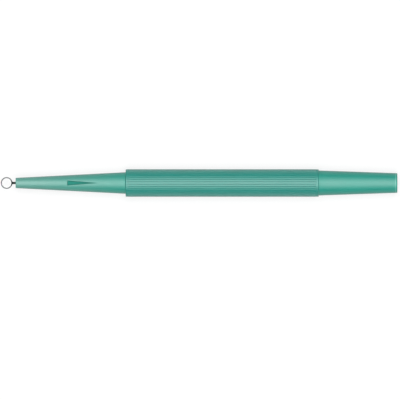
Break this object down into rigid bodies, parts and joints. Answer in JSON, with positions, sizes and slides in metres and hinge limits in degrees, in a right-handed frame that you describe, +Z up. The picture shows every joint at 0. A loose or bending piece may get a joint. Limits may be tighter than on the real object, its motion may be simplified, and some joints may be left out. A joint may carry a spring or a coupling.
{
  "type": "dermal ring curette",
  "caption": "Disposable dermal curette: a sharpened steel ring on a short steel stem, held in a moulded plastic handle with a ribbed grip and a pointed mark.",
  "frame": {"origin": "on the surface the tool lies on, under the middle of its length and on the line of its axis", "axes": "+X along the tool from its ring to its tail, +Y across it, +Z up; the pointed mark and the ring's cutting edge face +Z"},
  "size_m": [0.1482, 0.0102, 0.0103],
  "materials": {
    "handle_plastic": "satin",
    "stem_steel": "satin",
    "ring_steel": "polished"
  },
  "bodies": {
    "root": {"handle": "handle_plastic", "stem": "stem_steel", "cutting_ring": "ring_steel"}
  },
  "joints": []
}
